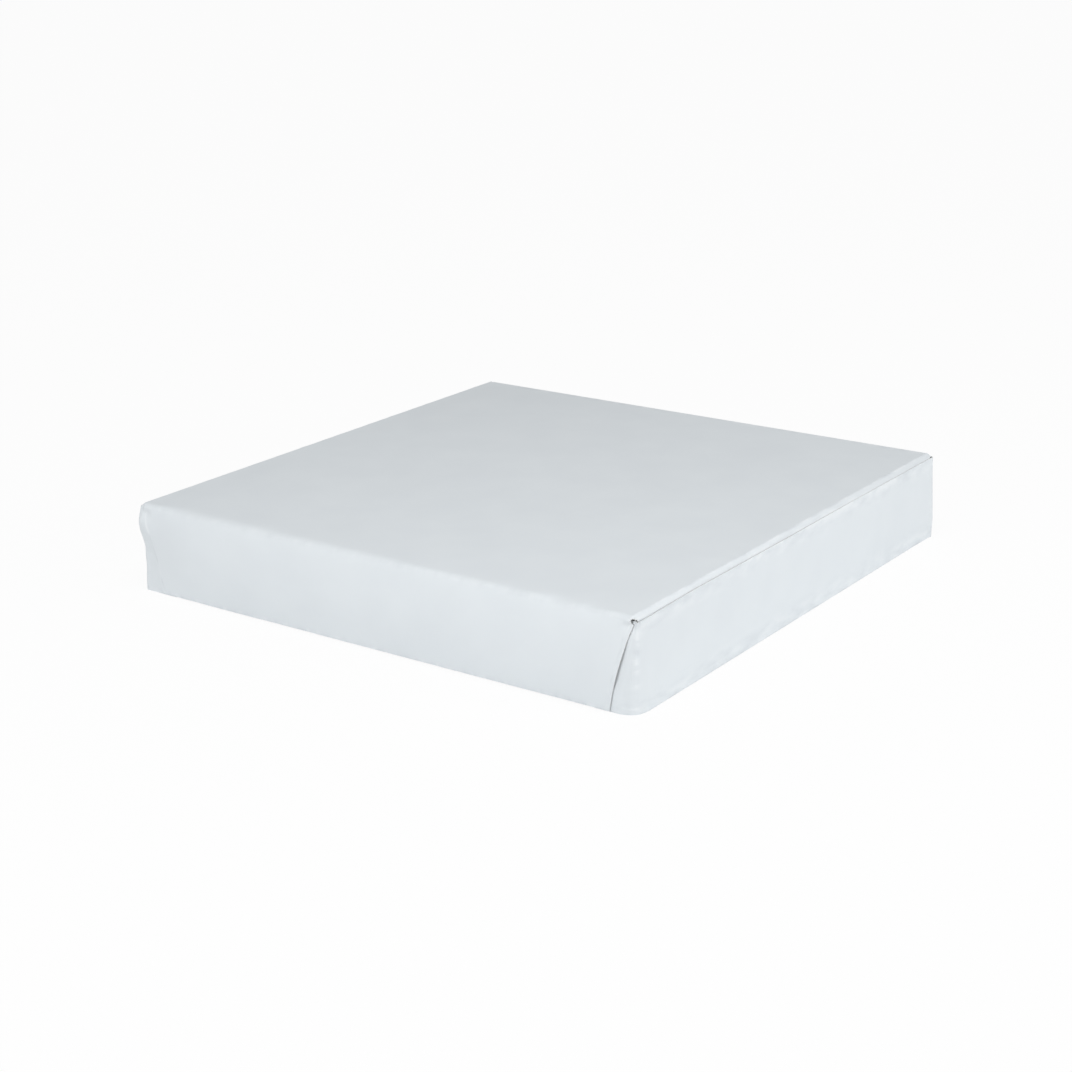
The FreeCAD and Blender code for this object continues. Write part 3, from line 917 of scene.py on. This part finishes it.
def area_light(name, place, target, size, power):
    data = bpy.data.lights.new(name, "AREA")
    data.shape = "DISK"
    data.size = size
    data.energy = power
    lamp = bpy.data.objects.new(name, data)
    turn = (Vector(target) - Vector(place)).to_track_quat("-Z", "Y")
    lamp.matrix_world = Matrix.Translation(place) @ turn.to_matrix().to_4x4()
    bpy.context.scene.collection.objects.link(lamp)


def make_world(level):
    """Even white room light, seen as plain white behind the box."""
    world = bpy.data.worlds.new("room")
    world.use_nodes = True
    bpy.context.scene.world = world
    tree = world.node_tree
    light = tree.nodes["Background"]
    light.inputs["Color"].default_value = (1, 1, 1, 1)
    light.inputs["Strength"].default_value = level
    seen = add_node(tree, "ShaderNodeBackground", Strength=1.0)
    seen.inputs["Color"].default_value = (1, 1, 1, 1)
    path = add_node(tree, "ShaderNodeLightPath")
    choose = add_node(tree, "ShaderNodeMixShader")
    tree.links.new(path.outputs["Is Camera Ray"], choose.inputs["Fac"])
    tree.links.new(light.outputs["Background"], choose.inputs[1])
    tree.links.new(seen.outputs["Background"], choose.inputs[2])
    tree.links.new(choose.outputs["Shader"], tree.nodes["World Output"].inputs["Surface"])


def make_floor():
    """White table: it looks white to the camera, keeps a faint shadow, and bounces light."""
    bm = bmesh.new()
    bmesh.ops.create_grid(bm, x_segments=1, y_segments=1, size=FLOOR_HALF_WIDTH)
    mesh = bpy.data.meshes.new("floor")
    bm.to_mesh(mesh)
    bm.free()
    floor = bpy.data.objects.new("floor", mesh)
    floor.location.z = -FLOOR_DROP
    bpy.context.scene.collection.objects.link(floor)
    material, tree, shader = new_material("floor_white", (0.86, 0.86, 0.86), 0.9)
    shader.inputs["Specular IOR Level"].default_value = 0
    glow = add_node(tree, "ShaderNodeEmission", Strength=1.0)
    glow.inputs["Color"].default_value = (1, 1, 1, 1)
    path = add_node(tree, "ShaderNodeLightPath")
    share = times(tree, path.outputs["Is Camera Ray"], FLOOR_GLOW)
    choose = add_node(tree, "ShaderNodeMixShader")
    tree.links.new(share, choose.inputs["Fac"])
    tree.links.new(shader.outputs["BSDF"], choose.inputs[1])
    tree.links.new(glow.outputs["Emission"], choose.inputs[2])
    tree.links.new(choose.outputs["Shader"], tree.nodes["Material Output"].inputs["Surface"])
    mesh.materials.append(material)


make_camera()
make_world(ROOM_LIGHT)
for lamp_name, (lamp_place, lamp_target, lamp_size, lamp_power) in LAMPS.items():
    area_light(lamp_name, lamp_place, lamp_target, lamp_size, lamp_power)
make_floor()
bpy.context.scene.view_settings.view_transform = "Standard"

board_finishes = [coated_face(), liner_face(), cut_face()]
make_tray(board_finishes)
make_lid(board_finishes)
make_rear_fold(board_finishes)
